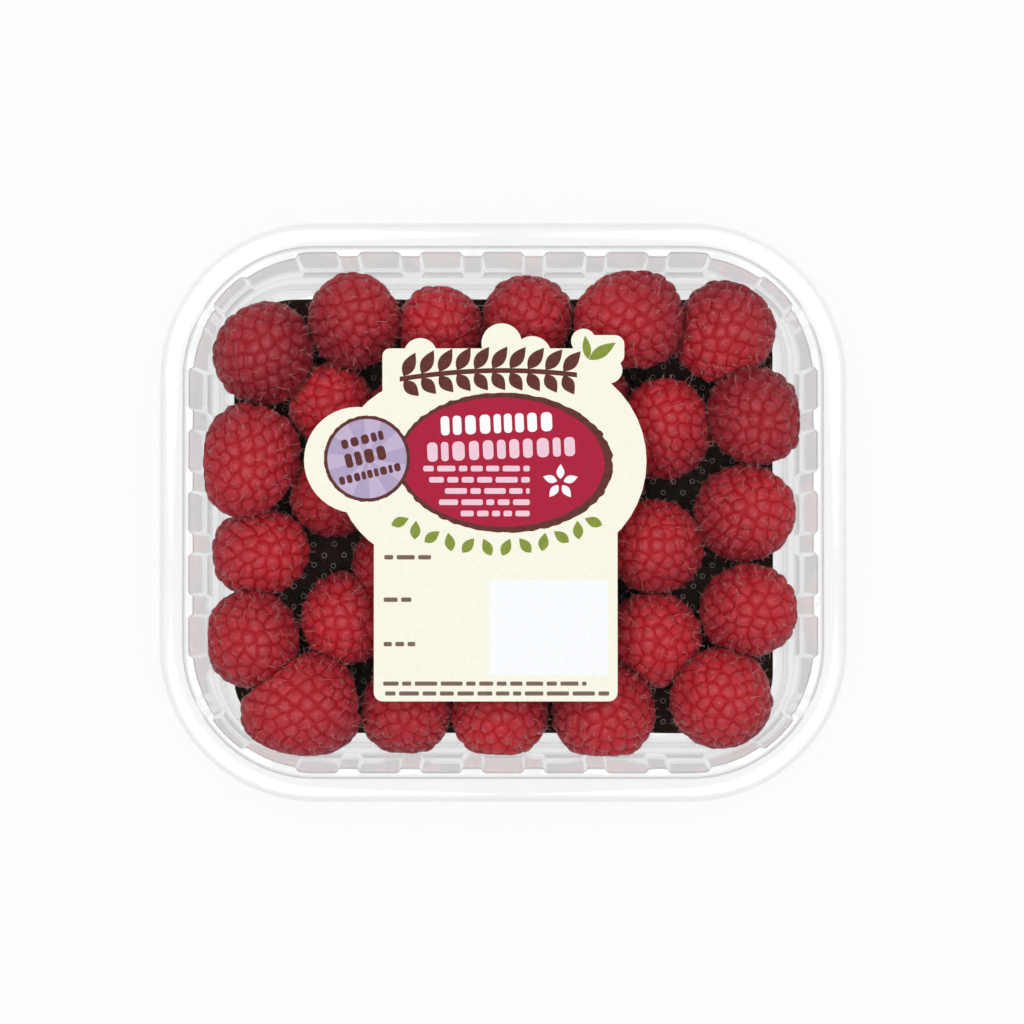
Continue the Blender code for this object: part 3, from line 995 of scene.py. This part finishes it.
def marks(x0, x1, y, height, count, rng, tilt=0.0, fill=0.72):
    """A row of plain upright blocks of uneven width, in place of a word."""
    shares = [rng.uniform(0.7, 1.3) for _ in range(count)]
    pitch = (x1 - x0) / sum(shares)
    middle, made, x = (x0 + x1) / 2, [], x0
    for share in shares:
        off = x + share * pitch / 2 - middle
        centre = (middle + off * math.cos(tilt), y + off * math.sin(tilt))
        half = share * pitch * fill / 2
        made.append(block(*centre, half, height / 2, min(0.3 * height, 0.8 * half), tilt))
        x += share * pitch
    return made


def dashes(x0, x1, y, height, rng):
    """A broken line of short bars, in place of small print."""
    made, x = [], x0
    while x < x1 - 0.6:
        length = min(rng.uniform(1.6, 4.6), x1 - x)
        made.append(block(x + length / 2, y, length / 2, height / 2, 0.3 * height))
        x += length + 0.7
    return made


def make_print():
    brown = paper_look("ink_brown", rgb(88, 40, 38), rgb(104, 56, 50))
    crimson = paper_look("ink_crimson", rgb(178, 26, 60), rgb(164, 28, 56))
    lilac = paper_look("ink_lilac", rgb(176, 160, 196), rgb(184, 168, 200))
    pale = paper_look("ink_pale_lilac", rgb(194, 178, 210), rgb(200, 186, 214))
    green = paper_look("ink_green", rgb(128, 146, 52), rgb(142, 156, 70))
    white = paper_look("ink_white", rgb(252, 254, 255), rgb(248, 250, 254))
    pink = paper_look("ink_pink", rgb(244, 208, 222), rgb(238, 200, 215))
    grey = paper_look("ink_grey", rgb(116, 94, 86), rgb(130, 108, 98))
    rng = random.Random(12)

    printed("print_ring", [ellipse(0.4, 10.0, 21.9, 14.2, 160, -0.03, brush_edge(3, 0.014))], 1, brown)
    printed("print_oval", [ellipse(-0.1, 10.1, 20.7, 13.1, 120, -0.03, brush_edge(4, 0.006))], 2, crimson)
    printed("print_disc_ring", [ellipse(*DISC, 8.75, 8.75, 120, 0, brush_edge(8, 0.012))], 3, brown)
    printed("print_disc", [ellipse(*DISC, DISC_RADIUS, DISC_RADIUS)], 4, lilac)
    rays = []
    for k in range(7):
        a, b = 2 * math.pi * k / 7 + 0.3, 2 * math.pi * (k + 0.5) / 7 + 0.3
        edge = []
        for m in range(5):
            turn = a + (b - a) * m / 4
            edge.append((DISC[0] + DISC_RADIUS * math.cos(turn), DISC[1] + DISC_RADIUS * math.sin(turn)))
        rays.append([DISC] + edge)
    printed("print_rays", rays, 5, pale)
    badge = marks(-33.2, -24.0, 14.6, 1.9, 5, rng, 0.24)
    badge += marks(-32.4, -23.4, 11.2, 2.9, 4, rng, 0.24)
    badge += marks(-33.6, -20.4, 7.7, 1.7, 9, rng, 0.24)
    printed("print_badge", badge, 6, brown)
    printed("print_box", [block(9.2, -23.4, 12.1, 9.65)], 1, white)

    bars = dashes(-24.1, -13.7, -9.2, 0.9, rng)
    bars += dashes(-24.2, -18.6, -17.8, 0.9, rng)
    bars += dashes(-24.2, -17.8, -26.8, 0.9, rng)
    bars += dashes(-24.3, 16.9, -34.8, 0.85, rng)
    bars += dashes(-23.9, 21.5, -36.8, 0.85, rng)
    printed("print_captions", bars, 1, grey)

    arc = []
    for k in range(12):
        turn = math.radians(-90 + 40 * (2 * k / 11 - 1))
        x, y = -1.3 + 30.5 * math.cos(turn), 15.0 + 22.2 * math.sin(turn)
        lean = turn + (0.5 if k % 2 else -0.5)
        half = (1.9 * math.cos(lean), 1.9 * math.sin(lean))
        arc.append(leaf((x + half[0], y + half[1]), (x - half[0], y - half[1]), 1.05))
    printed("print_arc", arc, 3, green)

    printed("print_title", marks(-13.0, 10.4, 17.9, 3.9, 9, rng, 0.04), 3, white)
    printed("print_second", marks(-15.8, 15.0, 12.7, 3.9, 11, rng, 0.04), 3, pink)
    lines = []
    for row, length in enumerate((21.6, 20.4, 17.2, 18.4, 14.0)):
        lines += dashes(5.4 - length, 5.4, 8.8 - 2.28 * row, 1.15, rng)
    printed("print_lines", lines, 3, pink)
    petals = []
    for k in range(5):
        turn = 2 * math.pi * k / 5 + 0.3
        start = (11.6 + 0.7 * math.cos(turn), 6.0 + 0.7 * math.sin(turn))
        petals.append(leaf(start, (11.6 + 3.7 * math.cos(turn), 6.0 + 3.7 * math.sin(turn)), 0.8))
    printed("print_flower", petals, 3, white)

    stem, leaves = [], []
    for side in (1, -1):
        edge = [(x, vine_height(x) + side * 0.5) for x in range(-21, 16)]
        stem += edge if side > 0 else edge[::-1]
    for k in range(10):
        x = -20.2 + 3.6 * k
        for side, length in ((1, 5.4), (-1, 4.4)):
            turn = side * 0.95 - 0.008 * x
            base = (x, vine_height(x) + side * 0.45)
            tip = (base[0] + length * math.cos(turn), base[1] + length * math.sin(turn))
            leaves.append(leaf(base, tip, 1.3))
    printed("print_vine", [stem], 1, brown)
    printed("print_vine_leaves", leaves, 2, brown)
    pair = [leaf((17.3, 31.0), (16.6, 35.8), 0.85), leaf((17.4, 30.9), (22.9, 34.4), 1.2)]
    printed("print_leaves", pair, 1, green)


# ---------------------------------------------------------------- stage


def make_floor():
    """A white floor that the camera and reflections see mostly as plain white."""
    look = Look("floor")
    shade = look.mix(look.noise(3.0), rgb(252, 252, 252), rgb(255, 255, 255))
    look.set(Base_Color=shade, Roughness=0.9, Specular_IOR_Level=0.0)
    path = look.add("ShaderNodeLightPath")
    kinds = {0: path.outputs["Is Camera Ray"], 1: path.outputs["Is Glossy Ray"]}
    seen = look.add("ShaderNodeMath", kinds, operation="MAXIMUM")
    share = look.add("ShaderNodeMath", {0: seen.outputs[0], 1: FLOOR_GLOW}, operation="MULTIPLY").outputs[0]
    glow = look.add("ShaderNodeEmission", {"Color": (1, 1, 1, 1), "Strength": 1.0})
    both = look.add("ShaderNodeMixShader", {0: share, 1: look.shader.outputs[0], 2: glow.outputs[0]})
    look.tree.links.new(both.outputs[0], look.output.inputs["Surface"])
    corners = [(-3, -3, 0), (3, -3, 0), (3, 3, 0), (-3, 3, 0)]
    floor = piece("floor", corners, [(0, 1, 2, 3)], look.material, smooth=False, riding=False)
    floor.location.z = -0.0002


def make_world():
    """Soft light from all round, which the camera and reflections see as white."""
    world = bpy.data.worlds.new("studio")
    bpy.context.scene.world = world
    world.use_nodes = True
    tree = world.node_tree
    ambient = tree.nodes["Background"]
    ambient.inputs["Strength"].default_value = AMBIENT
    ambient.inputs["Color"].default_value = (1, 1, 1, 1)
    white = tree.nodes.new("ShaderNodeBackground")
    white.inputs["Color"].default_value = (1, 1, 1, 1)
    path = tree.nodes.new("ShaderNodeLightPath")
    seen = tree.nodes.new("ShaderNodeMath")
    seen.operation = "MAXIMUM"
    tree.links.new(path.outputs["Is Camera Ray"], seen.inputs[0])
    tree.links.new(path.outputs["Is Glossy Ray"], seen.inputs[1])
    both = tree.nodes.new("ShaderNodeMixShader")
    tree.links.new(seen.outputs[0], both.inputs[0])
    tree.links.new(ambient.outputs[0], both.inputs[1])
    tree.links.new(white.outputs[0], both.inputs[2])
    tree.links.new(both.outputs[0], tree.nodes["World Output"].inputs["Surface"])


def make_lamps():
    for number in range(4):
        turn = math.radians(45 + 90 * number)
        data = bpy.data.lights.new(f"soft_{number}", "AREA")
        data.energy = LAMP_POWER
        data.size = LAMP_SIZE
        light = bpy.data.objects.new(f"soft_{number}", data)
        light.location = (LAMP_REACH * math.cos(turn), LAMP_REACH * math.sin(turn), LAMP_HEIGHT)
        light.rotation_euler = (Vector((0, 0, 0.02)) - light.location).to_track_quat("-Z", "Y").to_euler()
        bpy.context.scene.collection.objects.link(light)


def make_camera():
    """The photo's view from above, a touch from the front, and how its light is counted."""
    scene = bpy.context.scene
    camera = bpy.data.objects.new("camera", bpy.data.cameras.new("camera"))
    scene.collection.objects.link(camera)
    scene.camera = camera
    camera.data.sensor_width = 36.0
    camera.data.lens = CAMERA_LENS
    camera.data.clip_start = 0.05
    back, up = CAMERA_DISTANCE * math.sin(CAMERA_LEAN), CAMERA_DISTANCE * math.cos(CAMERA_LEAN)
    camera.location = (CAMERA_SIDE, -back, RIM_TOP + up)
    camera.rotation_euler = (CAMERA_LEAN, 0, 0)
    scene.view_settings.view_transform = "Standard"
    scene.cycles.transparent_max_bounces = 16
    scene.cycles.max_bounces = 6
    scene.cycles.diffuse_bounces = 3
    scene.cycles.glossy_bounces = 3


def main():
    make_tray(clear_plastic("clear_sheet", (0.98, 0.984, 0.983, 1), (0.979, 0.981, 0.981, 1), 0.33, True))
    make_pad(pad_look())
    make_pad_rings(ring_look())
    make_raspberries(berry_look(), hair_look())
    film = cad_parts["film"]
    film.data.materials.clear()
    film.data.materials.append(
        clear_plastic("clear_film", (0.996, 0.997, 0.997, 1), (0.975, 0.98, 0.98, 1), 0.05, False)
    )
    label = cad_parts["label"]
    label.data.materials.clear()
    label.data.materials.append(paper_look("label_paper", rgb(252, 250, 235), rgb(248, 245, 226)))
    for node in (film, label):
        node.data.polygons.foreach_set("use_smooth", [False] * len(node.data.polygons))
    make_print()
    make_floor()
    make_world()
    make_lamps()
    make_camera()


main()
